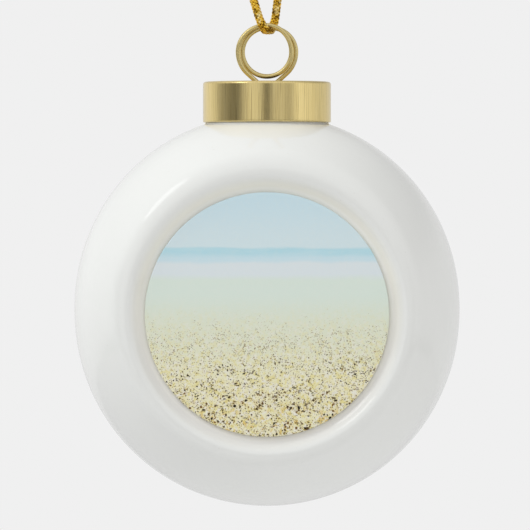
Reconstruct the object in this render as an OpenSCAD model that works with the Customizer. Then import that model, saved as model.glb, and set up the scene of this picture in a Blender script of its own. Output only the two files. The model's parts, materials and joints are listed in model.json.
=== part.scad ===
// Souvenir christmas ball ornament: a hollow glazed porcelain ball with a round
// picture disc glued in a dished face at the front and the back, a drawn metal
// cap over its neck, a wound wire hanger and a metallic cord tied in a loop.
// The origin is the inside of the top of the cord's loop, where a hook holds it.
// +Z is up, the front picture faces -Y, and +X is to the right of its viewer.

/* [Ball] */
// Width of the ball
ball_d = 66; // [62:1:72]
// How much taller than wide the ball is
ball_stretch = 1.4; // [0.6:0.2:2.4]
// Thickness of the porcelain
porcelain = 2.8; // [2.2:0.1:3.2]
// Width of the neck inside the cap
neck_d = 21; // [19:0.5:23]
// Width of the hole down the neck
bore_d = 13; // [12.6:0.1:13.4]
// Height of the neck's rim above the middle of the pictures
neck_top = 39.5; // [39:0.5:42]

/* [Dished faces] */
// Width across the rounded crest of a dished face
crest_d = 48; // [46:0.5:50]
// Depth of a dished face, from its crest to its flat floor
dish_depth = 1.6; // [1.2:0.1:2]
// Steepest slope of the dish's side, in degrees
dish_slope = 48; // [45:1:65]
// Radius of the crest towards the picture
crest_round = 1.9; // [0.8:0.1:2]

/* [Picture discs] */
// Width of a picture disc
picture_d = 41.5; // [38:0.5:42]
// Thickness of a picture disc
picture_t = 0.5; // [0.4:0.1:0.8]
// Width of the round of adhesive film under a disc
adhesive_d = 39; // [34:1:40]
// Thickness of the adhesive film
adhesive_t = 0.2; // [0.1:0.05:0.3]

/* [Cap] */
// Height of the cap
cap_h = 7; // [5:0.5:7]
// Thickness of the cap's sheet metal
cap_t = 0.4; // [0.3:0.05:0.5]
// Gap between the neck and the cap's skirt
cap_gap = 0.1; // [0.1:0.05:0.2]
// Radius of the cap's top edge
cap_round = 0.5; // [0.3:0.1:1]
// Width of the hole that the hanger's legs pass through
cap_hole_d = 5.4; // [5.2:0.1:6]

/* [Wire hanger] */
// Thickness of the spring wire
wire_d = 0.75; // [0.6:0.05:0.8]
// Clear width of the hanger's eye
eye_d = 7.55; // [7.2:0.05:8]
// How far the outer turns stand out beyond the inner one, at each side
turn_step = 0.85; // [0.8:0.05:1]
// Slope of the crossing legs above the horizontal, in degrees
leg_slope = 42; // [40:1:44]
// Length of the upright end of each leg
leg_end = 8; // [6:0.5:10]

/* [Hanging cord] */
// Thickness of the cord
cord_d = 1.4; // [1.1:0.1:1.5]
// Width of the knot that ties its ends
knot_d = 5; // [4.6:0.2:6]
// Length of the two cut ends above the knot
tail_length = 6; // [4:0.5:9]

/* [Hidden] */
$fn = 96;

// Heights, from the origin at the top of the loop
eye_z = -52.5;
ball_z = -97.5;
cap_top_z = ball_z + neck_top + cap_t;
cap_bottom_z = cap_top_z - cap_h;

// The dished face: its crest rounds over into the ball, and its side is an S curve
ball_r = ball_d / 2;
crest_fillet = 2.5;
crest_y = crest_fillet + sqrt(pow(ball_r - crest_fillet, 2) - pow(crest_d / 2, 2));
floor_y = crest_y - dish_depth;
cove_round = dish_depth / (1 - cos(dish_slope)) - crest_round;
floor_r = crest_d / 2 - (crest_round + cove_round) * sin(dish_slope);
fillet_end = 40;
arc_steps = 6;

// The hanger: two turns side by side. The wire's centre is at turn_r on the inner turn, at
// outer_r where a turn passes outside it, and at over_r where the front one comes over the top
turn_r = (eye_d + wire_d) / 2;
outer_r = turn_r + turn_step;
over_r = (turn_r + outer_r) / 2;
layer_gap = 0.05;
layer_y = (wire_d + layer_gap) / 2;
leg_clearance = 0.05;
leg_x = bore_d / 2 - leg_clearance - wire_d / 2;
leg_bend = 1.5;
turn_degrees = 9;
wire_sides = 12;

// The knot's flat underside, where the two ends of the cord go in
knot_z = 55;
knot_h = 4.1;
tail_splay = 14;

// The cord's route, from the knot down through the eye and back up, measured from the
// middle of the eye
cord_bight = [0.2, 0, 3.3];
cord_route = [
    [-0.7, 0, 55], [-0.8, 0, 53.8], [-1.6, 0, 52.4], [-3.2, 0, 51], [-5.2, 0, 49],
    [-6.9, 0, 46.2], [-8, 0, 42.6], [-8.4, 0, 38.5], [-8.2, -0.1, 33], [-7.5, -0.2, 27],
    [-6.2, -0.4, 21], [-4.3, -0.7, 15], [-2.9, -1.2, 10.8], [-2.2, -1.6, 8.6],
    [-1.6, -2, 6.6], [-1.1, -2.2, 5.2], [-0.6, -1.9, 4.3], [-0.2, -1.2, 3.6], cord_bight,
    [0.5, 1.1, 3.6], [0.9, 1.8, 4.3], [1.3, 2.1, 5.3], [1.6, 1.9, 7.2], [1.9, 1.4, 9.6],
    [2.8, 0.8, 14.5], [4.3, 0.4, 21], [6, 0.2, 27.5], [7.3, 0.1, 33.5], [7.9, 0, 38.5],
    [7.7, 0, 42.6], [6.7, 0, 46.2], [5.1, 0, 49], [3.2, 0, 51], [1.6, 0, 52.4],
    [0.8, 0, 53.8], [0.7, 0, 55]
];
cord_sides = 8;

// The soft cord is pressed flat and wide where the eye hangs in it: fully within
// pressed_reach of the bight, less and less out to pressed_end
pressed_reach = 1.6;
pressed_end = 3.6;
pressed_wider = 0.35;
pressed_thinner = 0.64;

// Points of an arc in a plane, from one angle to another
function arc(centre, radius, from, to, steps) =
    [for (i = [0 : steps]) let (a = from + (to - from) * i / steps)
        centre + radius * [cos(a), sin(a)]];

// The same points standing up in the plane y = const
function upright(points, y) = [for (p = points) [p[0], y, p[1]]];

function unit(v) = v / norm(v);

// Direction of a path at one of its points
function heading(path, i) =
    unit(path[min(i + 1, len(path) - 1)] - path[max(i - 1, 0)]);

// A vector square to a heading, as near as it can be to the vector given
function squared(v, along) = unit(v - (v * along) * along);

// A tube swept along a path. sizes holds its half width towards the side vector, and its
// half thickness, at each point of the path.
module tube(path, sizes, sides, side) {
    rings = len(path);
    points = [for (i = [0 : rings - 1])
        let (along = heading(path, i), across = squared(side, along), up = cross(along, across))
            for (j = [0 : sides - 1]) let (a = 360 * j / sides)
                path[i] + sizes[i][0] * cos(a) * across + sizes[i][1] * sin(a) * up];
    skin = [for (i = [0 : rings - 2], j = [0 : sides - 1]) let (k = (j + 1) % sides)
        [i * sides + j, (i + 1) * sides + j, (i + 1) * sides + k, i * sides + k]];
    start = [for (j = [0 : sides - 1]) j];
    finish = [for (j = [sides - 1 : -1 : 0]) (rings - 1) * sides + j];
    polyhedron(points, concat([start], skin, [finish]));
}

// How much the cord is pressed flat at a point, from 0 to 1
function pressed(point) =
    min(1, max(0, (pressed_end - norm(point - cord_bight)) / (pressed_end - pressed_reach)));

// How far the wire is from the middle of the eye at an angle of its turns, which go from
// the front layer's left side at 180 over the top, and round to the back layer's right side
function wire_r(t) =
    t > 180 || t < -360 ? outer_r
    : t > 90 ? over_r + turn_step / 2 * pow(cos(t), 2)
    : t > 0 ? over_r - turn_step / 2 * pow(cos(t), 2)
    : t > -270 ? turn_r
    : turn_r + turn_step * pow(cos(t), 1.5);

// Depth of the wire at an angle of its turns: it changes layers at the bottom of the eye
function wire_y(t) = t > 0 ? -layer_y : t < -180 ? layer_y : -layer_y * cos(t);

// The hanger's wire: up a leg in the front layer, round the eye, and down the other leg,
// which is the first one turned about Z
function wire_line() = let (
    leave = 270 - leg_slope,
    left_off = outer_r * [cos(leave), sin(leave)],
    down = [cos(leg_slope), -sin(leg_slope)],
    bend_top = left_off + down * (leg_x - leg_bend * (1 - sin(leg_slope)) - left_off[0]) / down[0],
    bend_middle = bend_top - leg_bend * [sin(leg_slope), cos(leg_slope)],
    bend = arc(bend_middle, leg_bend, 0, 90 - leg_slope, 5),
    leg = upright(concat([bend[0] - [0, leg_end]], bend), -layer_y),
    other_leg = [for (i = [len(leg) - 1 : -1 : 0]) [-leg[i][0], -leg[i][1], leg[i][2]]],
    steps = round((2 * leave + 180) / turn_degrees),
    turns = [for (i = [0 : steps]) let (t = leave - i * (2 * leave + 180) / steps)
        [wire_r(t) * cos(t), wire_y(t), wire_r(t) * sin(t)]]
) concat(leg, turns, other_leg);

// A ball that is ball_stretch taller than wide
module long_ball(r) {
    sphere(r);
    translate([0, 0, ball_stretch]) sphere(r);
}

// Half of the dished block's outline, from its axis out past the ball
function dish_outline() = let (
    slope_end = 270 + dish_slope,
    crest_step = dish_slope / arc_steps,
    rim = arc([crest_d / 2, crest_y - crest_fillet], crest_fillet, 90, 90 - fillet_end, arc_steps),
    last = rim[arc_steps]
) concat(
    [[0, floor_y]],
    arc([floor_r, floor_y + cove_round], cove_round, 270, slope_end, arc_steps),
    arc([crest_d / 2, crest_y - crest_round], crest_round, 90 + dish_slope, 90 + crest_step, arc_steps - 1),
    rim,
    [last + ball_r / 2 * [1, -tan(fillet_end)]]
);

// A block as thick as the ball is deep, with a dish in its front and back
module dished_block() {
    half = dish_outline();
    n = len(half);
    rotate([90, 0, 0]) rotate_extrude()
        polygon(concat(half, [for (i = [n - 1 : -1 : 0]) [half[i][0], -half[i][1]]]));
}

// A disc facing the front or the back, from depth y out to y + t
module facing_disc(d, y, t, side) {
    translate([0, 0, ball_z]) rotate([side * 90, 0, 0]) translate([0, 0, y]) cylinder(d = d, h = t);
}

module hanging_cord() {
    sizes = [for (p = cord_route)
        cord_d / 2 * [1 + pressed_wider * pressed(p), 1 - pressed_thinner * pressed(p)]];
    color("goldenrod") translate([0, 0, eye_z]) tube(cord_route, sizes, cord_sides, [1, 0, 0]);
}

module cord_knot() {
    color("darkgoldenrod") translate([0, 0, eye_z + knot_z + knot_h / 2]) {
        intersection() {
            sphere(d = knot_d);
            cube([knot_d, knot_d, knot_h], center = true);
        }
        for (side = [-1, 1]) {
            rotate([0, side * tail_splay, 0]) cylinder(d = cord_d, h = knot_h / 2 + tail_length);
        }
    }
}

module wire_hanger() {
    line = wire_line();
    sizes = [for (p = line) wire_d / 2 * [1, 1]];
    color("tan") translate([0, 0, eye_z]) tube(line, sizes, wire_sides, [0, 1, 0]);
}

module cap() {
    inner = neck_d / 2 + cap_gap;
    outer = inner + cap_t;
    color("gold") rotate_extrude() polygon(concat(
        arc([outer - cap_round, cap_top_z - cap_round], cap_round, 0, 90, 4),
        [[cap_hole_d / 2, cap_top_z], [cap_hole_d / 2, cap_top_z - cap_t],
         [inner, cap_top_z - cap_t], [inner, cap_bottom_z], [outer, cap_bottom_z]]
    ));
}

module ball_shell() {
    color("whitesmoke") translate([0, 0, ball_z]) difference() {
        union() {
            intersection() {
                long_ball(ball_r);
                dished_block();
            }
            translate([0, 0, neck_top / 2]) cylinder(d = neck_d, h = neck_top / 2);
        }
        intersection() {
            long_ball(ball_r - porcelain);
            cube([ball_d, 2 * (floor_y - porcelain), 2 * ball_d], center = true);
        }
        translate([0, 0, neck_top / 2]) cylinder(d = bore_d, h = neck_top);
    }
}

module front_disc() {
    color("lightblue") facing_disc(picture_d, floor_y + adhesive_t, picture_t, 1);
}

module front_adhesive() {
    color("ivory") facing_disc(adhesive_d, floor_y, adhesive_t, 1);
}

module back_disc() {
    color("lightblue") facing_disc(picture_d, floor_y + adhesive_t, picture_t, -1);
}

module back_adhesive() {
    color("ivory") facing_disc(adhesive_d, floor_y, adhesive_t, -1);
}

hanging_cord();
cord_knot();
wire_hanger();
cap();
ball_shell();
front_disc();
front_adhesive();
back_disc();
back_adhesive();
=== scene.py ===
"""Looks of a christmas ball ornament: glazed ball, picture discs, cap, wire hanger and cord.

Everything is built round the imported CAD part, in its frame: +Z up, the front picture faces
-Y, and the origin is the inside of the top of the cord's loop. Lengths are written in
millimetres, times MM, because Blender's unit is the metre.
"""
import json
import math

import bmesh
import bpy
import numpy as np
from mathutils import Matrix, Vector
from mathutils.geometry import delaunay_2d_cdt


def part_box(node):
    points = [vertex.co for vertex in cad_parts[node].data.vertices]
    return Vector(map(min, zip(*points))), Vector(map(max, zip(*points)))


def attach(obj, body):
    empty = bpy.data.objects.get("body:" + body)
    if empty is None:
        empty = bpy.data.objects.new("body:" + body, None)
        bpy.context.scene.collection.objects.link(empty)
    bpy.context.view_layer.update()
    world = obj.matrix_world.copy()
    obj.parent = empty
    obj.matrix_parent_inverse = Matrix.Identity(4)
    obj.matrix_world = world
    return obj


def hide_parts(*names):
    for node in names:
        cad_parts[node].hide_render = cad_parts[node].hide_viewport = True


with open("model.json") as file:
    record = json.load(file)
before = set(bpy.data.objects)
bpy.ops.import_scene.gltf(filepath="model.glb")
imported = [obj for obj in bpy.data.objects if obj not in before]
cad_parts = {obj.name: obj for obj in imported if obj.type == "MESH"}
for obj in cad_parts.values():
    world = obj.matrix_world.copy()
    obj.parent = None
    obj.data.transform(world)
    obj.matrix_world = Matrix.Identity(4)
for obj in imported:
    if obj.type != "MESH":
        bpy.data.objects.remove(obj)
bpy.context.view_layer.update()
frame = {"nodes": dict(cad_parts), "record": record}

MM = 0.001


# ---------------------------------------------------------------- places from the frame

def mount(name):
    """The place of one of the record's mounts."""
    return Vector(next(m["pos_m"] for m in frame["record"]["mounts"] if m["name"] == name))


EYE = mount("hanger_eye")            # middle of the wire's eye
BALL = Vector((0, 0, mount("front_picture_face").z))   # middle of the ball, at the pictures' height
CAP_LOW, CAP_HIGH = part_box("cap")

# The ball, in the same sizes as the CAD part
BALL_R = 33 * MM
STRETCH = 1.4 * MM                   # how much taller than wide it is
WALL = 2.8 * MM
NECK_R, BORE_R = 10.5 * MM, 6.5 * MM
NECK_TOP = 39.5 * MM
CREST_R = 24 * MM
CREST_FILLET = 2.5 * MM
DISH_DEPTH, DISH_SLOPE = 1.6 * MM, math.radians(48)
CREST_ROUND = 1.9 * MM
COVE_ROUND = DISH_DEPTH / (1 - math.cos(DISH_SLOPE)) - CREST_ROUND
CREST_Y = CREST_FILLET + math.sqrt((BALL_R - CREST_FILLET) ** 2 - CREST_R ** 2)
FLOOR_Y = CREST_Y - DISH_DEPTH
FLOOR_R = CREST_R - (CREST_ROUND + COVE_ROUND) * math.sin(DISH_SLOPE)

# The wire hanger
WIRE_R = 0.405 * MM
TURN_R, OUTER_R = 4.19 * MM, 4.98 * MM
OVER_R = (TURN_R + OUTER_R) / 2      # where one turn crosses over the other
LAYER_Y = WIRE_R                     # the two layers of wire touch
LEG_SLOPE = math.radians(42)
LEG_X, LEG_BEND, LEG_END = 6.075 * MM, 1.5 * MM, 8 * MM

# The cord, with its route as in part.scad, measured from the middle of the eye
CORD_R = 0.7 * MM
CORD_BIGHT = (0.2, 0, 3.3)
CORD_ROUTE = [
    (-0.7, 0, 55), (-0.8, 0, 53.8), (-1.6, 0, 52.4), (-3.2, 0, 51), (-5.2, 0, 49),
    (-6.9, 0, 46.2), (-8, 0, 42.6), (-8.4, 0, 38.5), (-8.2, -0.1, 33), (-7.5, -0.2, 27),
    (-6.2, -0.4, 21), (-4.3, -0.7, 15), (-2.9, -1.2, 10.8), (-2.2, -1.6, 8.6),
    (-1.6, -2, 6.6), (-1.1, -2.2, 5.2), (-0.6, -1.9, 4.3), (-0.2, -1.2, 3.6), CORD_BIGHT,
    (0.5, 1.1, 3.6), (0.9, 1.8, 4.3), (1.3, 2.1, 5.3), (1.6, 1.9, 7.2), (1.9, 1.4, 9.6),
    (2.8, 0.8, 14.5), (4.3, 0.4, 21), (6, 0.2, 27.5), (7.3, 0.1, 33.5), (7.9, 0, 38.5),
    (7.7, 0, 42.6), (6.7, 0, 46.2), (5.1, 0, 49), (3.2, 0, 51), (1.6, 0, 52.4),
    (0.8, 0, 53.8), (0.7, 0, 55),
]
PRESSED_REACH, PRESSED_END = 1.6 * MM, 3.6 * MM
PRESSED_WIDER, PRESSED_THINNER = 0.15, 0.62


# ---------------------------------------------------------------- camera

VIEW_WIDTH = 91.1 * MM               # what the frame takes in at the middle of the ball
CAMERA_AWAY = 1.6
CAMERA_X, CAMERA_UP = -0.34 * MM, 8.4 * MM   # the camera's place beside and above the ball's middle
SENSOR = 36.0


def make_camera():
    """A level camera that looks along +Y at the ball, and cuts the cord's loop off at its top edge."""
    data = bpy.data.cameras.new("camera")
    camera = bpy.data.objects.new("camera", data)
    bpy.context.scene.collection.objects.link(camera)
    data.sensor_width = SENSOR
    data.lens = SENSOR * CAMERA_AWAY / VIEW_WIDTH
    data.clip_end = 20
    camera.location = (CAMERA_X, -CAMERA_AWAY, BALL.z + CAMERA_UP)
    camera.rotation_euler = (math.pi / 2, 0, 0)
    bpy.context.scene.camera = camera


# ---------------------------------------------------------------- mesh helpers

def add_mesh(name, points, faces):
    """A smooth-shaded mesh object, from points in the row frame."""
    mesh = bpy.data.meshes.new(name)
    mesh.from_pydata([tuple(p) for p in points], [], faces)
    return add_piece(name, mesh)


def add_piece(name, mesh):
    """A smooth-shaded object that shows a mesh."""
    mesh.validate()
    mesh.shade_smooth()
    piece = bpy.data.objects.new(name, mesh)
    bpy.context.scene.collection.objects.link(piece)
    return piece


def finish_piece(piece, body, slot, material, *nodes):
    """Gives a piece its material and its body, and hides the CAD nodes that it stands for."""
    piece.data.materials.append(material)
    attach(piece, body)
    if nodes:
        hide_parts(*nodes)
    return piece


def arc(centre, radius, start, stop, steps):
    """Points of an arc in a plane, with both of its ends."""
    angles = np.linspace(start, stop, steps + 1)
    return [(centre[0] + radius * math.cos(a), centre[1] + radius * math.sin(a)) for a in angles]


def smooth_line(points, step):
    """Points about a step apart along a smooth curve through the given ones."""
    p = np.array(points, float)
    p = np.vstack([2 * p[0] - p[1], p, 2 * p[-1] - p[-2]])
    knots = np.concatenate([[0], np.cumsum(np.linalg.norm(np.diff(p, axis=0), axis=1) ** 0.5)])
    line = []
    for i in range(1, len(p) - 2):
        t0, t1, t2, t3 = knots[i - 1:i + 3]
        t = np.linspace(t1, t2, 24, endpoint=False)[:, None]
        a1 = ((t1 - t) * p[i - 1] + (t - t0) * p[i]) / (t1 - t0)
        a2 = ((t2 - t) * p[i] + (t - t1) * p[i + 1]) / (t2 - t1)
        a3 = ((t3 - t) * p[i + 1] + (t - t2) * p[i + 2]) / (t3 - t2)
        b1 = ((t2 - t) * a1 + (t - t0) * a2) / (t2 - t0)
        b2 = ((t3 - t) * a2 + (t - t1) * a3) / (t3 - t1)
        line.append(((t2 - t) * b1 + (t - t1) * b2) / (t2 - t1))
    return evenly(np.vstack(line + [p[-2:-1]]), step)


def evenly(line, step):
    """The same line with its points evenly about a step apart."""
    along = np.concatenate([[0], np.cumsum(np.linalg.norm(np.diff(line, axis=0), axis=1))])
    at = np.linspace(0, along[-1], round(along[-1] / step) + 1)
    return np.stack([np.interp(at, along, line[:, k]) for k in range(3)], axis=1)


def unit(v):
    """The vectors of an array, row by row, at unit length."""
    return v / np.linalg.norm(v, axis=-1, keepdims=True)


def squared(v, along):
    """The part of v that is square to along, at unit length, row by row."""
    return unit(v - (v * along).sum(-1, keepdims=True) * along)


def headings(line):
    """The way that a line goes at each of its points, at unit length."""
    return unit(np.gradient(line, axis=0))


def turning_sides(line, first):
    """A vector square to the line at each point, carried along it without twist."""
    along = headings(line)
    sides = [squared(np.array(first, float), along[0])]
    for heading in along[1:]:
        sides.append(squared(sides[-1], heading))
    return np.array(sides)


def sweep(line, sizes, sides, count, start=0):
    """Points and faces of a closed tube along a line. sizes holds its half width towards the
    side vectors, and its half thickness; start is the number of its first point."""
    along = headings(line)
    ups = np.cross(along, sides)
    around = np.linspace(0, 2 * math.pi, count, endpoint=False)
    points = (line[:, None]
              + (sizes[:, :1] * np.cos(around))[:, :, None] * sides[:, None]
              + (sizes[:, 1:] * np.sin(around))[:, :, None] * ups[:, None])
    return points.reshape(-1, 3), tube_faces(len(line), count, start)


def tube_faces(rings, count, start=0):
    """Faces of a tube with closed ends, over rings of count points each."""
    faces = [
        (start + i * count + j, start + i * count + (j + 1) % count,
         start + (i + 1) * count + (j + 1) % count, start + (i + 1) * count + j)
        for i in range(rings - 1) for j in range(count)
    ]
    last = start + (rings - 1) * count
    return faces + [tuple(start + j for j in reversed(range(count))),
                    tuple(last + j for j in range(count))]


def lathe(outline, steps, place):
    """Points and faces of a closed outline turned about an axis. place puts (radius, height,
    cos, sin) in the row frame."""
    points = [place(r, h, math.cos(a), math.sin(a))
              for a in np.linspace(0, 2 * math.pi, steps, endpoint=False) for r, h in outline]
    n = len(outline)
    faces = [(i * n + j, i * n + (j + 1) % n, (i + 1) % steps * n + (j + 1) % n,
              (i + 1) % steps * n + j) for i in range(steps) for j in range(n)]
    return points, faces


# ---------------------------------------------------------------- node helpers

def new_material(name, **constants):
    """A material with one Principled shader, its constants set on the shader's own sockets."""
    material = bpy.data.materials.new(name)
    material.use_nodes = True
    shader = material.node_tree.nodes["Principled BSDF"]
    for key, value in constants.items():
        shader.inputs[key.replace("_", " ")].default_value = value
    return material, material.node_tree, shader


def node(tree, kind, inputs=None, **settings):
    """A new node: inputs holds constants, or sockets to link from, by name or number."""
    made = tree.nodes.new(kind)
    for key, value in settings.items():
        setattr(made, key, value)
    for key, value in (inputs or {}).items():
        if isinstance(value, bpy.types.NodeSocket):
            tree.links.new(value, made.inputs[key])
        else:
            made.inputs[key].default_value = value
    return made


def maths(tree, operation, a, b=0.0, clamp=False):
    """The outcome of a maths node on two values, held between 0 and 1 where clamp is set."""
    return node(tree, "ShaderNodeMath", {0: a, 1: b}, operation=operation, use_clamp=clamp).outputs[0]


def between(tree, value, low, high, to_low=0.0, to_high=1.0):
    """value mapped from low..high to to_low..to_high, smoothly, and held there outside."""
    return node(tree, "ShaderNodeMapRange", {"Value": value, "From Min": low, "From Max": high,
                                             "To Min": to_low, "To Max": to_high},
                interpolation_type="SMOOTHSTEP").outputs[0]


def mixed(tree, share, a, b):
    """Colour a, or b where share is 1. A colour is a socket or three numbers."""
    made = node(tree, "ShaderNodeMix", data_type="RGBA")
    for key, value in ((0, share), (6, a), (7, b)):
        if isinstance(value, bpy.types.NodeSocket):
            tree.links.new(value, made.inputs[key])
        else:
            made.inputs[key].default_value = value if key == 0 else (*value, 1)
    return made.outputs[2]


def noise(tree, place, scale, detail=2.0, roughness=0.5):
    """Cloudy noise about 0.5, with scale patches to a unit of place."""
    return node(tree, "ShaderNodeTexNoise", {"Vector": place, "Scale": scale, "Detail": detail,
                                             "Roughness": roughness}).outputs["Fac"]


def object_place(tree, scale=(1, 1, 1), shift=(0, 0, 0)):
    """Object coordinates in millimetres, shifted and then scaled."""
    raw = node(tree, "ShaderNodeTexCoord").outputs["Object"]
    moved = node(tree, "ShaderNodeVectorMath", {0: raw, 1: [-s for s in shift]}, operation="ADD")
    per_mm = [s / MM for s in scale]
    return node(tree, "ShaderNodeVectorMath", {0: moved.outputs[0], 1: per_mm},
                operation="MULTIPLY").outputs[0]


def from_axis(tree, place):
    """Distance from the Y axis."""
    flat = node(tree, "ShaderNodeVectorMath", {0: place, 1: (1, 0, 1)}, operation="MULTIPLY").outputs[0]
    return node(tree, "ShaderNodeVectorMath", {0: flat}, operation="LENGTH").outputs["Value"]


def split(tree, vector):
    """The three parts of a vector or a colour."""
    return node(tree, "ShaderNodeSeparateXYZ", {0: vector}).outputs


def bump(tree, shader, height, distance):
    """Fine relief on a material: height is 0 to 1, and distance what 1 is worth, in metres."""
    made = node(tree, "ShaderNodeBump", {"Height": height, "Distance": distance, "Strength": 1.0})
    tree.links.new(made.outputs[0], shader.inputs["Normal"])


# ---------------------------------------------------------------- materials

# How far from the Y axis, in mm, the glaze begins to pool in the dish, where it has pooled and the
# painted light beside the picture begins, and where that painted light is full. The pooled glaze is
# creamier, with painted shade low down and painted light high up; beside the picture the glaze is
# painted paler, against the shade of the recess
POOL_AND_SHADE_EDGE, POOL_AND_SHADE_FULL, PAINTED_LIGHT_FULL = 23.6, 21.9, 21.3


def porcelain_material():
    """White porcelain under a glossy glaze, creamier where it pools in the dish; painted shade darkens
    the dish low down, and painted light brightens it high up and beside the picture.
    """
    material, tree, shader = new_material("glazed_porcelain", Roughness=0.14, IOR=1.5,
                                          Coat_Weight=0.3, Coat_Roughness=0.05)
    place = object_place(tree, shift=BALL)
    cloud = noise(tree, place, 0.06, 3)
    tone = mixed(tree, cloud, (0.84, 0.845, 0.815), (0.86, 0.865, 0.84))
    z = split(tree, place)[2]
    # Painted light: the dish is painted darker low down and lighter high up, as the light falls
    height = between(tree, z, -14, 12)
    pooled_and_painted_shade = mixed(tree, height, (0.81, 0.80, 0.765), (0.91, 0.89, 0.80))
    painted_light_by_disc = mixed(tree, height, (0.91, 0.895, 0.855), (0.96, 0.94, 0.87))
    out = from_axis(tree, place)
    tone = mixed(tree, between(tree, out, POOL_AND_SHADE_EDGE, POOL_AND_SHADE_FULL), tone, pooled_and_painted_shade)
    # Painted light: the glaze beside the picture is painted paler, against the shade of the recess
    tone = mixed(tree, between(tree, out, POOL_AND_SHADE_FULL, PAINTED_LIGHT_FULL), tone, painted_light_by_disc)
    speck = between(tree, noise(tree, place, 2.4, 1), 0.74, 0.80)
    tone = mixed(tree, maths(tree, "MULTIPLY", speck, 0.25), tone, (0.62, 0.6, 0.55))
    tree.links.new(tone, shader.inputs["Base Color"])
    tree.links.new(between(tree, cloud, 0.2, 0.8, 0.06, 0.09), shader.inputs["Roughness"])
    bump(tree, shader, noise(tree, place, 0.22, 2), 0.04 * MM)
    return material


# Bands of the printed beach, from the top down: the height (mm above the middle of the picture)
# where a band begins and where it is at its full colour, and the colour
SURF = (
    (10.6, 9.4, (0.63, 0.80, 0.86)), (9.3, 8.5, (0.76, 0.83, 0.85)), (7.0, 5.6, (0.745, 0.84, 0.755)),
)
SAND = ((4, -3.5, (0.78, 0.81, 0.64)), (-3, -13, (0.88, 0.84, 0.58)))


def picture_material():
    """A generic beach, printed: sky, sea, surf and pale sand that is speckled towards the viewer."""
    material, tree, shader = new_material("picture_print", Roughness=0.35, IOR=1.4,
                                          Coat_Weight=0.1, Coat_Roughness=0.15)
    place = object_place(tree, shift=BALL)
    z = split(tree, place)[2]
    long_waves = noise(tree, object_place(tree, (0.12, 0, 0.5), BALL), 1, 2)
    wavy = maths(tree, "ADD", z, maths(tree, "SUBTRACT", long_waves, 0.5))
    colour = mixed(tree, between(tree, z, 20, 12), (0.63, 0.80, 0.865), (0.69, 0.82, 0.855))
    patches = noise(tree, object_place(tree, (0.2, 0, 1.2), BALL), 1, 2)
    sea = mixed(tree, patches, (0.44, 0.73, 0.82), (0.58, 0.79, 0.85))
    colour = mixed(tree, between(tree, wavy, 11.6, 11.0), colour, sea)
    for begins, full, band in SURF:
        colour = mixed(tree, between(tree, wavy, begins, full), colour, band)
    for begins, full, band in SAND:
        colour = mixed(tree, between(tree, z, begins, full), colour, band)
    colour = sand_grain(tree, place, z, colour)
    tree.links.new(colour, shader.inputs["Base Color"])
    return material


# Three sizes of grain on the sand: grains per millimetre, the height (mm above the middle of
# the picture) where they begin and where they are densest, and how dark they are
GRAINS = ((6.0, 3.0, -5.0, 0.75), (3.7, -1.5, -10.0, 1.0), (2.1, -8.0, -16.0, 1.0))


def sand_grain(tree, place, z, colour):
    """Grains and broken shell on the sand, larger and denser towards the bottom of the picture."""
    patch = noise(tree, place, 1.5, 3, 0.65)
    tint = maths(tree, "MULTIPLY", between(tree, patch, 0.48, 0.62), between(tree, z, 4, -16, 0, 0.9))
    colour = mixed(tree, tint, colour, (0.82, 0.73, 0.30))
    pale = between(tree, noise(tree, place, 1.7, 3), 0.50, 0.62)
    pale = maths(tree, "MULTIPLY", pale, between(tree, z, 4, -14, 0.05, 0.8))
    colour = mixed(tree, pale, colour, (0.88, 0.86, 0.78))
    rusty = between(tree, noise(tree, place, 1.2, 3, 0.6), 0.54, 0.62)
    rusty = maths(tree, "MULTIPLY", rusty, between(tree, z, -13, -19, 0, 0.8))
    colour = mixed(tree, rusty, colour, (0.76, 0.53, 0.12))
    ragged = node(tree, "ShaderNodeTexNoise", {"Vector": place, "Scale": 4.0, "Detail": 2.0}).outputs[1]
    shaken = node(tree, "ShaderNodeVectorMath", {0: ragged, 1: (0.45, 0.45, 0.45), 2: place},
                  operation="MULTIPLY_ADD").outputs[0]
    for scale, top, bottom, strength in GRAINS:
        cells = node(tree, "ShaderNodeTexVoronoi", {"Vector": shaken, "Scale": scale})
        chance = split(tree, cells.outputs["Color"])[0]
        crowd = maths(tree, "MULTIPLY", maths(tree, "SUBTRACT", noise(tree, place, 0.8, 2), 0.5), -0.8)
        fewest = maths(tree, "ADD", between(tree, z, top, bottom, 1.0, 0.45), crowd)
        size = maths(tree, "SUBTRACT", chance, fewest)
        edge = maths(tree, "SUBTRACT", size, cells.outputs["Distance"])
        here = maths(tree, "MULTIPLY", between(tree, z, top, top - 3), strength)
        around = maths(tree, "ADD", maths(tree, "MULTIPLY", edge, 2.0), 0.5, True)
        halo = maths(tree, "MULTIPLY", around, here)
        colour = mixed(tree, maths(tree, "MULTIPLY", halo, 0.5), colour, (0.66, 0.46, 0.10))
        spot = maths(tree, "MULTIPLY", maths(tree, "MULTIPLY", edge, 14, True), here)
        kind = between(tree, split(tree, cells.outputs["Color"])[1], 0.4, 1.0)
        grain = mixed(tree, kind, (0.012, 0.007, 0.001), (0.24, 0.11, 0.01))
        colour = mixed(tree, spot, colour, grain)
    return colour


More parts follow.
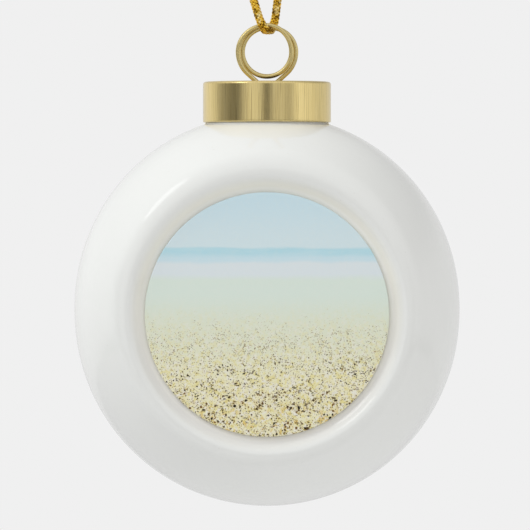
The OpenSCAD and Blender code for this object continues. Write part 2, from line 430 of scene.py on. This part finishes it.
def cap_material():
    """Pale gold drawn metal, satin, with fine draw lines up its side."""
    material, tree, shader = new_material("pale_gold_cap", Metallic=1.0)
    stretched = object_place(tree, (4.0, 4.0, 0.03))
    lines = noise(tree, stretched, 1.6, 4, 0.6)
    scratches = between(tree, noise(tree, stretched, 3.0, 2), 0.57, 0.66)
    cloud = noise(tree, object_place(tree), 0.35, 3)
    tone = mixed(tree, cloud, (0.80, 0.64, 0.28), (0.84, 0.69, 0.34))
    tone = mixed(tree, between(tree, lines, 0.35, 0.65), tone, (0.76, 0.60, 0.26))
    tone = mixed(tree, maths(tree, "MULTIPLY", scratches, 0.7), tone, (0.38, 0.30, 0.12))
    tree.links.new(tone, shader.inputs["Base Color"])
    tree.links.new(between(tree, lines, 0.3, 0.7, 0.13, 0.22), shader.inputs["Roughness"])
    bump(tree, shader, lines, 0.012 * MM)
    return material


def wire_material():
    """Drawn spring wire in a duller pale gold."""
    material, tree, shader = new_material("pale_gold_wire", Metallic=1.0)
    place = object_place(tree)
    streak = noise(tree, place, 2.2, 4, 0.6)
    tone = mixed(tree, streak, (0.64, 0.51, 0.21), (0.80, 0.66, 0.31))
    tree.links.new(tone, shader.inputs["Base Color"])
    tree.links.new(between(tree, streak, 0.3, 0.7, 0.24, 0.40), shader.inputs["Roughness"])
    bump(tree, shader, noise(tree, place, 5, 2), 0.002 * MM)
    return material


def cord_material():
    """Braided metallic yarn in gold, with painted shade as dark brown patches and painted highlights as
    pale gold glints.
    """
    material, tree, shader = new_material("gold_yarn", Metallic=1.0)
    place = object_place(tree)
    # Painted shade: dark brown patches stand in for the braid's dark reflections
    painted_shade_fleck = maths(tree, "ADD", noise(tree, place, 0.8, 1), noise(tree, place, 3.2, 1))
    tone = mixed(tree, between(tree, painted_shade_fleck, 0.82, 1.02), (0.26, 0.13, 0.005), (0.96, 0.62, 0.07))
    # Painted highlight: pale gold glints stand in for the braid's bright reflections
    painted_glint = between(tree, noise(tree, object_place(tree, shift=(5, 3, 1)), 1.1, 1), 0.54, 0.68)
    tone = mixed(tree, maths(tree, "MULTIPLY", painted_glint, 0.85), tone, (1.0, 0.84, 0.40))
    tree.links.new(tone, shader.inputs["Base Color"])
    tree.links.new(between(tree, painted_shade_fleck, 0.8, 1.2, 0.5, 0.3), shader.inputs["Roughness"])
    bump(tree, shader, noise(tree, place, 16, 1), 0.01 * MM)
    return material


def film_material():
    """Cream double-sided film."""
    material, tree, shader = new_material("adhesive_film", Roughness=0.6)
    cloud = noise(tree, object_place(tree), 0.9, 3)
    tone = mixed(tree, cloud, (0.74, 0.70, 0.58), (0.82, 0.79, 0.69))
    tree.links.new(tone, shader.inputs["Base Color"])
    tree.links.new(between(tree, cloud, 0.3, 0.7, 0.5, 0.7), shader.inputs["Roughness"])
    return material


def floor_material():
    """Plain pale grey, for the floor."""
    material, tree, shader = new_material("pale_floor", Roughness=0.7)
    shader.inputs["Base Color"].default_value = (0.85, 0.85, 0.85, 1)
    return material


# ---------------------------------------------------------------- braid

YARNS = 5                            # strips of yarn that run each way round the braid
BRAID_TURN = 3.2 * MM                # length of one turn of a strip
YARN_HALF_WIDTH, YARN_HALF_THICKNESS = 0.235 * MM, 0.08 * MM
YARN_SIDES = 5
BRAID_STEP = 0.085 * MM
CORE_SHARE = 0.72                    # half width of the braid's filling, of the cord's
CORE_SIDES = 10


def braid(line, sizes, sides, start=0):
    """Points and faces of a tubular braid along a line. Strips of yarn go round it both ways,
    over one and under one, on a filling that closes the gaps between them."""
    along = headings(line)
    ups = np.cross(along, sides)
    travelled = np.concatenate([[0], np.cumsum(np.linalg.norm(np.diff(line, axis=0), axis=1))])
    turned = 2 * math.pi * travelled / BRAID_TURN
    section = np.linspace(0, 2 * math.pi, YARN_SIDES, endpoint=False)
    all_points, all_faces = sweep(line, sizes * CORE_SHARE, sides, CORE_SIDES, start)
    all_points = [all_points]
    start += CORE_SIDES * len(line)
    for way in (1, -1):
        lift = way * np.cos(YARNS * turned)[:, None] * YARN_HALF_THICKNESS
        reach = sizes - 1.5 * YARN_HALF_THICKNESS + lift
        for k in range(YARNS):
            angle = (way * turned + 2 * math.pi * k / YARNS)[:, None]
            c, s = np.cos(angle), np.sin(angle)
            centre = line + reach[:, :1] * c * sides + reach[:, 1:] * s * ups
            out = unit(sizes[:, 1:] * c * sides + sizes[:, :1] * s * ups)
            yarn_along = headings(centre)
            out = squared(out, yarn_along)
            flat = np.cross(yarn_along, out)
            points = (centre[:, None]
                      + YARN_HALF_WIDTH * np.cos(section)[None, :, None] * flat[:, None]
                      + YARN_HALF_THICKNESS * np.sin(section)[None, :, None] * out[:, None])
            all_points.append(points.reshape(-1, 3))
            all_faces += tube_faces(len(line), YARN_SIDES, start)
            start += YARN_SIDES * len(line)
    return np.vstack(all_points), all_faces


def pressed_sizes(line):
    """Half width and half thickness of the cord, which is pressed flat where the eye hangs in it."""
    away = np.linalg.norm(line - (np.array(EYE) + np.array(CORD_BIGHT) * MM), axis=1)
    share = np.clip((PRESSED_END - away) / (PRESSED_END - PRESSED_REACH), 0, 1)
    return CORD_R * np.stack([1 + PRESSED_WIDER * share, 1 - PRESSED_THINNER * share], axis=1)


def make_cord(material):
    """The loop of braid, with the line that it follows."""
    line = smooth_line(np.array(EYE) + np.array(CORD_ROUTE) * MM, BRAID_STEP)
    sides = squared(np.array([[1.0, 0, 0]]), headings(line))
    points, faces = braid(line, pressed_sizes(line), sides)
    cord = add_mesh("gold_cord", points, faces)
    finish_piece(cord, "hang_cord", "cord", material, "hanging_cord")
    return cord, line


# ---------------------------------------------------------------- knot

# One overhand knot tied in both ends of the cord together: where the middle of the pair goes,
# as (distance from the knot's upright axis, angle round it in degrees, height above its middle)
KNOT_PAIR = [
    (0.5, 270, -2.6), (0.6, 270, -1.6), (0.62, 270, -0.4), (0.75, 272, 0.8), (1.2, 288, 1.7),
    (1.8, 325, 1.8), (2.05, 370, 1.35), (2.1, 430, 0.95), (2.1, 490, 0.55), (2.1, 550, 0.1),
    (2.1, 610, -0.4), (2.1, 660, -0.95), (1.9, 705, -1.55), (1.4, 748, -1.95),
    (0.85, 785, -1.6), (0.62, 806, -0.8), (0.6, 810, 0.3), (0.6, 810, 1.5), (0.5, 810, 2.5),
]
PAIR_APART = 0.6 * MM                # each cord's distance from the middle of the pair
KNOT_CORD_R = 0.6 * MM               # the cord is drawn thinner where it is tied
KNOT_MIDDLE = 57.05 * MM             # height above the middle of the eye
KNOT_STEP = 0.2 * MM
# The way out of each cut end, in mm from the knot's middle
TAILS = [(1.0, 0.3, 4.2), (1.45, 0.1, 6.0), (1.95, 0, 7.8)]


def knot_line(side):
    """The route of one of the two cords through the knot and out to its cut end."""
    keys = np.array(KNOT_PAIR, float)
    angle = np.radians(keys[:, 1])
    middle_line = np.stack([keys[:, 0] * np.cos(angle), keys[:, 0] * np.sin(angle), keys[:, 2]], 1)
    middle_line = smooth_line(middle_line * MM, KNOT_STEP)
    outward = middle_line * [1, 1, 0]
    apart = unit(np.cross(headings(middle_line), unit(outward)))
    pair = middle_line + side * PAIR_APART * apart
    tail = np.array(TAILS) * [-side, 1, 1] * MM
    whole = smooth_line(np.vstack([pair[::4], tail]), BRAID_STEP)
    return whole + np.array(EYE) + [0, 0, KNOT_MIDDLE]


def make_knot(material):
    """Both ends of the cord, tied together in one overhand knot, out to their cut ends."""
    points, faces = [], []
    count = 0
    for side in (1, -1):
        line = knot_line(side)
        sizes = np.full((len(line), 2), KNOT_CORD_R)
        sides = turning_sides(line, (1, 0, 0))
        more, more_faces = braid(line, sizes, sides, count)
        points.append(more)
        faces += more_faces
        count += len(more)
    knot = add_mesh("tied_knot", np.vstack(points), faces)
    return finish_piece(knot, "hang_cord", "cord", material, "cord_knot")


# ---------------------------------------------------------------- wire hanger

WIRE_STEP, WIRE_SIDES = 0.12 * MM, 20
TURN_POINTS = 240
TIP_POINTS = 5                       # points over which each end of the wire is rounded off
TIP_SHARE = 0.02                     # how wide its very tip is, of the wire

def wire_radius(t):
    """How far the wire is from the middle of the eye, at an angle of its turns in radians."""
    half_step, half_turn = (OUTER_R - TURN_R) / 2, math.pi
    if t > half_turn or t < -2 * half_turn:
        return OUTER_R
    if t > half_turn / 2:
        return OVER_R + half_step * math.cos(t) ** 2
    if t > 0:
        return OVER_R - half_step * math.cos(t) ** 2
    if t > -1.5 * half_turn:
        return TURN_R
    return TURN_R + (OUTER_R - TURN_R) * max(0, math.cos(t)) ** 1.5


def wire_depth(t):
    """The wire changes from the front layer to the back one at the bottom of the eye."""
    if t > 0:
        return -LAYER_Y
    return LAYER_Y if t < -math.pi else -LAYER_Y * math.cos(t)


def wire_route():
    """Up one leg, round the eye twice, and down the other leg, from the middle of the eye."""
    leave = 1.5 * math.pi - LEG_SLOPE
    off = np.array([math.cos(leave), math.sin(leave)]) * OUTER_R
    down = np.array([math.cos(LEG_SLOPE), -math.sin(LEG_SLOPE)])
    bend_top = off + down * (LEG_X - LEG_BEND * (1 - math.sin(LEG_SLOPE)) - off[0]) / down[0]
    bend_middle = bend_top - LEG_BEND * np.array([math.sin(LEG_SLOPE), math.cos(LEG_SLOPE)])
    bend = np.array(arc(bend_middle, LEG_BEND, 0, math.pi / 2 - LEG_SLOPE, 8))
    flat_leg = np.vstack([bend[0] - [0, LEG_END], bend])
    leg = np.stack([flat_leg[:, 0], np.full(len(flat_leg), -LAYER_Y), flat_leg[:, 1]], axis=1)
    turns = np.array([
        (wire_radius(t) * math.cos(t), wire_depth(t), wire_radius(t) * math.sin(t))
        for t in np.linspace(leave, -math.pi - leave, TURN_POINTS)
    ])
    return np.vstack([leg, turns, (leg * [-1, -1, 1])[::-1]])


def make_hanger(material):
    """The spring wire, with its two ends rounded off."""
    line = evenly(wire_route(), WIRE_STEP) + np.array(EYE)
    tip = np.sqrt(1 - np.linspace(0, 1, TIP_POINTS) ** 2) * (1 - TIP_SHARE) + TIP_SHARE
    taper = np.concatenate([tip[::-1], np.ones(len(line) - 2 * TIP_POINTS), tip])
    sizes = np.stack([taper, taper], axis=1) * WIRE_R
    sides = squared(np.array([[0, 1.0, 0]]), headings(line))
    points, faces = sweep(line, sizes, sides, WIRE_SIDES)
    hanger = add_mesh("spring_wire", points, faces)
    return finish_piece(hanger, "hanger", "hanger_wire", material, "wire_hanger")


# ---------------------------------------------------------------- cap

CAP_SHEET = 0.4 * MM
CAP_HOLE_R = 2.7 * MM
CAP_EDGE = 0.5 * MM
CAP_STEPS = 192


def make_cap(material):
    """A drawn cup, with its top edge rounded and the rim of its skirt and hole eased."""
    outer = (CAP_HIGH.x - CAP_LOW.x) / 2
    inner, top, low = outer - CAP_SHEET, CAP_HIGH.z, CAP_LOW.z
    half = CAP_SHEET / 2
    outline = (
        arc((outer - CAP_EDGE, top - CAP_EDGE), CAP_EDGE, 0, math.pi / 2, 8)
        + [(outer * share, top) for share in (0.85, 0.7, 0.5, 0.35)]
        + arc((CAP_HOLE_R + half, top - half), half, math.pi / 2, 1.5 * math.pi, 8)
        + [(outer * share, top - CAP_SHEET) for share in (0.4, 0.6, 0.8)]
        + arc((inner - CAP_EDGE / 3, top - CAP_SHEET - CAP_EDGE / 3), CAP_EDGE / 3, math.pi / 2, 0, 4)
        + [(inner, low + (top - low) * share) for share in (0.7, 0.4, 0.15)]
        + arc((outer - half, low + half), half, math.pi, 2 * math.pi, 8)
        + [(outer, low + (top - low) * share) for share in (0.1, 0.2, 0.4, 0.6, 0.8)]
    )
    points, faces = lathe(outline, CAP_STEPS, lambda r, h, c, s: (r * c, r * s, h))
    cap = add_mesh("drawn_cap", points, faces)
    return finish_piece(cap, "cap", "cap_metal", material, "cap")


# ---------------------------------------------------------------- ball

ROUND_STEPS = 240                    # steps round the ball's Y axis
NECK_STEPS = 96                      # steps round its neck
NECK_FILLET = 0.6 * MM
RIM_ROUND = 0.8 * MM
SMOOTH_JOIN = 0.15                   # how gently the stretch comes in at the widest level
CUT_STEPS = 1.8                      # how far the cut in a skin goes past the hole, in its steps


def shift_at(angle):
    """How far the section's circle is moved out, in the half plane at an angle round the Y axis."""
    s = math.sin(angle)
    return STRETCH * (s + math.sqrt(s * s + SMOOTH_JOIN ** 2)) / 2


def outer_half(shift):
    """The outside from the middle of the dish out to the widest level: (radius, depth) points."""
    crest_fillet = ((BALL_R ** 2 - (CREST_R - shift) ** 2 - CREST_Y ** 2)
                    / (2 * BALL_R - 2 * CREST_Y))
    middle_y = CREST_Y - crest_fillet
    tangent = math.atan2(middle_y, CREST_R - shift)
    right = math.pi / 2
    return (
        [(FLOOR_R * share, FLOOR_Y) for share in (0.2, 0.4, 0.6, 0.75, 0.88)]
        + arc((FLOOR_R, FLOOR_Y + COVE_ROUND), COVE_ROUND, -right, -right + DISH_SLOPE, 9)
        + arc((CREST_R, CREST_Y - CREST_ROUND), CREST_ROUND, right + DISH_SLOPE, right, 8)[1:]
        + arc((CREST_R, middle_y), crest_fillet, right, tangent, 7)[1:]
        + arc((shift, 0), BALL_R, tangent, 0, 26)[1:]
    )


def inner_half(shift):
    """The inside, which is flat behind the dish."""
    depth = FLOOR_Y - WALL
    inner_r = BALL_R - WALL
    edge = math.asin(depth / inner_r)
    edge_r = shift + inner_r * math.cos(edge)
    return ([(edge_r * share, depth) for share in (0.3, 0.6, 0.85)]
            + arc((shift, 0), inner_r, edge, 0, 14))


def add_skin(shell, half, steps, hole_r, hole_z):
    """Adds a skin round the Y axis to a bmesh, mirrored front to back, with a round hole at the
    top. Returns the hole's rim, a ring of vertices at NECK_STEPS angles round Z."""
    columns = []
    for a in np.linspace(0, 2 * math.pi, steps, endpoint=False):
        points = half(shift_at(a))
        points += [(r, -y) for r, y in reversed(points[:-1])]
        columns.append([shell.verts.new((r * math.cos(a), -y, r * math.sin(a))) for r, y in points])
    depth = half(0)[0][1]
    poles = [shell.verts.new((0, -depth, 0)), shell.verts.new((0, depth, 0))]
    faces = []
    for this, following in zip(columns, columns[1:] + columns[:1]):
        faces.append(shell.faces.new((poles[0], this[0], following[0])))
        faces.append(shell.faces.new((poles[1], following[-1], this[-1])))
        for j in range(len(this) - 1):
            faces.append(shell.faces.new((this[j], this[j + 1], following[j + 1], following[j])))
    cut = hole_r + CUT_STEPS * 2 * math.pi * BALL_R / steps
    gone = [f for f in faces if all(v.co.z > 0 and v.co.xy.length < cut for v in f.verts)]
    bmesh.ops.delete(shell, geom=gone, context="FACES")
    rim = [shell.verts.new((hole_r * math.cos(a), hole_r * math.sin(a), hole_z))
           for a in np.linspace(0, 2 * math.pi, NECK_STEPS, endpoint=False)]
    fill_between(shell, {e for f in faces if f.is_valid for e in f.edges if e.is_boundary}, rim)
    return rim


def fill_between(shell, edges, rim):
    """Fills the gap between a ragged ring of edges and the hole's rim inside it."""
    ring = list({v for e in edges for v in e.verts})
    verts = ring + rim
    number = {v: i for i, v in enumerate(verts)}
    first = len(ring)
    lines = [(number[e.verts[0]], number[e.verts[1]]) for e in edges]
    lines += [(first + i, first + (i + 1) % len(rim)) for i in range(len(rim))]
    triangles = delaunay_2d_cdt([v.co.xy for v in verts], lines, [], 0, 1e-9)[2]
    rim_r = rim[0].co.xy.length
    for t in triangles:
        corners = [verts[i] for i in t]
        centre = sum((v.co.xy for v in corners), Vector((0, 0))) / 3
        if centre.length > rim_r * 0.999 and inside(centre, edges):
            shell.faces.new(corners)


def inside(point, edges):
    """Whether a point of the XY plane is inside a closed ring of edges."""
    crossings = 0
    for e in edges:
        a, b = e.verts[0].co, e.verts[1].co
        if (a.y > point.y) != (b.y > point.y):
            crossings += point.x < a.x + (point.y - a.y) * (b.x - a.x) / (b.y - a.y)
    return crossings % 2 == 1


def neck_outline():
    """(radius, height) from the ball's outside up the neck, over its rim and down the hole, with
    the first and last point on the rims of the outer and inner skin."""
    reach = BALL_R + NECK_FILLET
    fillet_r = NECK_R + NECK_FILLET
    fillet_z = STRETCH + math.sqrt(reach ** 2 - fillet_r ** 2)
    to_ball = math.atan2(STRETCH - fillet_z, -fillet_r)
    fillet = arc((fillet_r, fillet_z), NECK_FILLET, to_ball, -math.pi, 8)
    right = math.pi / 2
    bore_end = STRETCH + math.sqrt((BALL_R - WALL) ** 2 - BORE_R ** 2)
    return (
        fillet
        + [(NECK_R, fillet_z + (NECK_TOP - fillet_z) * share) for share in (0.3, 0.6)]
        + arc((NECK_R - RIM_ROUND, NECK_TOP - RIM_ROUND), RIM_ROUND, 0, right, 6)
        + arc((BORE_R + RIM_ROUND, NECK_TOP - RIM_ROUND), RIM_ROUND, right, math.pi, 6)
        + [(BORE_R, bore_end + (NECK_TOP - bore_end) * share) for share in (0.7, 0.4, 0.15)]
        + [(BORE_R, bore_end)]
    )


def make_ball(material):
    """The shell: outer skin, neck and inner skin, as one closed surface."""
    shell = bmesh.new()
    outline = neck_outline()
    outer_rim = add_skin(shell, outer_half, ROUND_STEPS, *outline[0])
    inner_rim = add_skin(shell, inner_half, ROUND_STEPS // 2, *outline[-1])
    rings = [outer_rim]
    for r, z in outline[1:-1]:
        rings.append([shell.verts.new((r * math.cos(a), r * math.sin(a), z))
                      for a in np.linspace(0, 2 * math.pi, NECK_STEPS, endpoint=False)])
    rings.append(inner_rim)
    for low, high in zip(rings, rings[1:]):
        for i in range(NECK_STEPS):
            k = (i + 1) % NECK_STEPS
            shell.faces.new((low[i], low[k], high[k], high[i]))
    loose = [v for v in shell.verts if not v.link_faces]
    bmesh.ops.delete(shell, geom=loose, context="VERTS")
    bmesh.ops.recalc_face_normals(shell, faces=shell.faces)
    bmesh.ops.translate(shell, verts=shell.verts, vec=BALL)
    mesh = bpy.data.meshes.new("porcelain_ball")
    shell.to_mesh(mesh)
    shell.free()
    ball = add_piece("porcelain_ball", mesh)
    return finish_piece(ball, "ball", "porcelain", material, "ball_shell")


# ---------------------------------------------------------------- picture discs

DISC_EASE = 0.12 * MM                # rounding of the disc's front edge
DISC_STEPS = 160
HUB_R = 0.3 * MM                     # radius of the face that closes the middle of each side


def make_disc(name, node_name, side, material):
    """A thin round disc with eased edges, facing the front (side -1) or the back (side 1)."""
    low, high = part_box(node_name)
    radius, thick = (high.x - low.x) / 2, high.y - low.y
    centre = (low + high) / 2
    ease = arc((radius - DISC_EASE, thick / 2 - DISC_EASE), DISC_EASE, 0, math.pi / 2, 5)
    outline = ([(HUB_R, -thick / 2), (radius * 0.5, -thick / 2), (radius, -thick / 2)] + ease
               + [(radius * share, thick / 2) for share in (0.96, 0.8, 0.6, 0.4, 0.2)]
               + [(HUB_R, thick / 2)])

    def place(r, h, c, s):
        return centre.x + r * c, centre.y + side * h, centre.z + r * s

    points, faces = lathe(outline, DISC_STEPS, place)
    n = len(outline)
    faces = [f for k, f in enumerate(faces) if k % n != n - 1]
    faces.append(tuple(i * n for i in range(DISC_STEPS)))
    faces.append(tuple(i * n + n - 1 for i in range(DISC_STEPS)))
    disc = add_mesh(name, points, faces)
    close = bmesh.new()
    close.from_mesh(disc.data)
    bmesh.ops.recalc_face_normals(close, faces=close.faces)
    close.to_mesh(disc.data)
    close.free()
    return finish_piece(disc, "ball", "picture", material, node_name)


# ---------------------------------------------------------------- lights and floor

BACKDROP = 0.871                     # how bright the backdrop looks to the camera
FLOOR_DROP = 250 * MM                # how far the floor is below the ball
STAGE_R, STAGE_STEPS = 1.2, 64      # the floor's radius, and the sides of its outline


def make_floor():
    """A round pale floor under the hanging ornament, below what the main view takes in."""
    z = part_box("ball_shell")[0].z - FLOOR_DROP
    ring = [(STAGE_R * math.cos(a), STAGE_R * math.sin(a), z)
            for a in np.linspace(0, 2 * math.pi, STAGE_STEPS, endpoint=False)]
    floor = add_mesh("floor", ring, [tuple(range(STAGE_STEPS))])
    floor.data.materials.append(floor_material())


# Brightness of the studio round the horizon, by angle in degrees from the camera's side, with
# the ornament's right side positive: white panels with dark gaps between them
STUDIO = [
    (-180, 0.74), (-135, 0.92), (-110, 0.86), (-92, 0.40), (-62, 0.20), (-54, 0.20), (-34, 0.82),
    (-11, 0.78), (-3, 0.12), (1, 0.12), (11, 0.68), (30, 0.68), (42, 0.42), (54, 1.0),
    (74, 0.94), (104, 0.76), (180, 0.74),
]

# Patches of light in the surroundings: the way to each, the cosines of the angles where it ends
# and where it is full, and its level
GLOW = (-0.55, 0.45, 0.70)           # a bright wall, above and behind the ornament on its left
GLOW_EDGE, GLOW_FULL, GLOW_LEVEL = 0.4, 0.9, 0.25
KEY = (-0.65, -0.30, 0.70)           # the way to the main light
KEY_SEEN = (-0.62, -0.41, 0.67)      # the middle of the bright patch that it leaves in the glaze
KEY_EDGE, KEY_FULL, KEY_LEVEL = 0.978, 0.990, 1.9
KEY_BOUNCES = 3.0                    # a ray that has bounced this often no longer meets the patch
FILL = (0.70, -0.20, -0.68)          # the way to the weak light from below
LOW_LEVEL = 0.32                     # the dark table edge that is mirrored from below

# The lights: name, the way to it, distance and width in metres, watts, colour
LIGHTS = [
    ("key", KEY, 0.7, 0.35, 1.70, (0.95, 0.98, 1.0)),
    ("fill", FILL, 0.3, 0.2, 0.040, (0.97, 0.98, 1.0)),
]


def patch(tree, direction, way, edge, full, level):
    """A round patch of light in the surroundings, about the direction way. edge and full are the
    cosines of the angles from it where the patch ends, and where it is at its full level."""
    near = node(tree, "ShaderNodeVectorMath", {0: direction, 1: way}, operation="DOT_PRODUCT")
    return between(tree, near.outputs["Value"], edge, full, 0, level)


def make_studio():
    """Soft white surroundings, seen in the metal and the glaze, and a plain pale backdrop."""
    world = bpy.data.worlds.new("studio")
    bpy.context.scene.world = world
    world.use_nodes = True
    tree = world.node_tree
    direction = node(tree, "ShaderNodeTexCoord").outputs["Generated"]
    x, y, z = split(tree, direction)
    angle = maths(tree, "ARCTAN2", x, maths(tree, "MULTIPLY", y, -1))
    share = maths(tree, "ADD", maths(tree, "MULTIPLY", angle, 1 / (2 * math.pi)), 0.5)
    ramp = node(tree, "ShaderNodeValToRGB", {0: share})
    stops = ramp.color_ramp.elements
    for i, (degrees, level) in enumerate(STUDIO):
        at = degrees / 360 + 0.5
        stop = stops[i] if i < 2 else stops.new(at)
        stop.position = at
        stop.color = (level, level, level, 1)
    band = between(tree, maths(tree, "ABSOLUTE", z), 0.15, 0.4, 1, 0)
    ray = node(tree, "ShaderNodeLightPath").outputs
    above = between(tree, y, -0.6, 0.5, 0.87, 0.50)
    glow = patch(tree, direction, GLOW, GLOW_EDGE, GLOW_FULL, GLOW_LEVEL)
    above = maths(tree, "ADD", above, glow)
    lamp = patch(tree, direction, KEY_SEEN, KEY_EDGE, KEY_FULL, KEY_LEVEL)
    straight = maths(tree, "SUBTRACT", KEY_BOUNCES, ray["Ray Depth"], True)
    mirrored = maths(tree, "MULTIPLY", straight, ray["Is Glossy Ray"])
    above = maths(tree, "ADD", above, maths(tree, "MULTIPLY", lamp, mirrored))
    level = node(tree, "ShaderNodeMix", {0: band, 2: above, 3: ramp.outputs[0]}).outputs[0]
    low = maths(tree, "MULTIPLY", between(tree, z, -0.08, -0.25), between(tree, y, 0.7, 0.3))
    low = maths(tree, "MULTIPLY", low, ray["Is Glossy Ray"])
    level = node(tree, "ShaderNodeMix", {0: low, 2: level, 3: LOW_LEVEL}).outputs[0]
    level = node(tree, "ShaderNodeMix", {0: ray["Is Camera Ray"], 2: level, 3: BACKDROP}).outputs[0]
    tree.links.new(level, tree.nodes["Background"].inputs["Color"])


def add_light(name, direction, away, size, watts, colour, target):
    """A square soft light that faces a point from a direction. Mirrored in the glaze and the
    metal is the patch of the studio that stands for it, which has softer edges."""
    data = bpy.data.lights.new(name, "AREA")
    data.shape = "SQUARE"
    data.size = size
    data.energy = watts
    data.color = colour
    light = bpy.data.objects.new(name, data)
    bpy.context.scene.collection.objects.link(light)
    direction = Vector(direction).normalized()
    light.location = target + direction * away
    light.rotation_euler = direction.to_track_quat("Z", "Y").to_euler()
    light.visible_glossy = False
    light.visible_camera = False


def make_lights():
    """The surroundings and the two lights."""
    make_studio()
    for name, direction, away, size, watts, colour in LIGHTS:
        add_light(name, direction, away, size, watts, colour, BALL)


# ---------------------------------------------------------------- the whole

bpy.context.scene.view_settings.view_transform = "Standard"
make_camera()
gold_yarn = cord_material()
cord, cord_line = make_cord(gold_yarn)
knot = make_knot(gold_yarn)
make_hanger(wire_material())
make_cap(cap_material())
make_ball(porcelain_material())
picture = picture_material()
make_disc("front_picture", "front_disc", -1, picture)
make_disc("back_picture", "back_disc", 1, picture)
film = film_material()
for name in ("front_adhesive", "back_adhesive"):
    slots = frame["nodes"][name].data.materials
    slots.clear()
    slots.append(film)
make_floor()
make_lights()
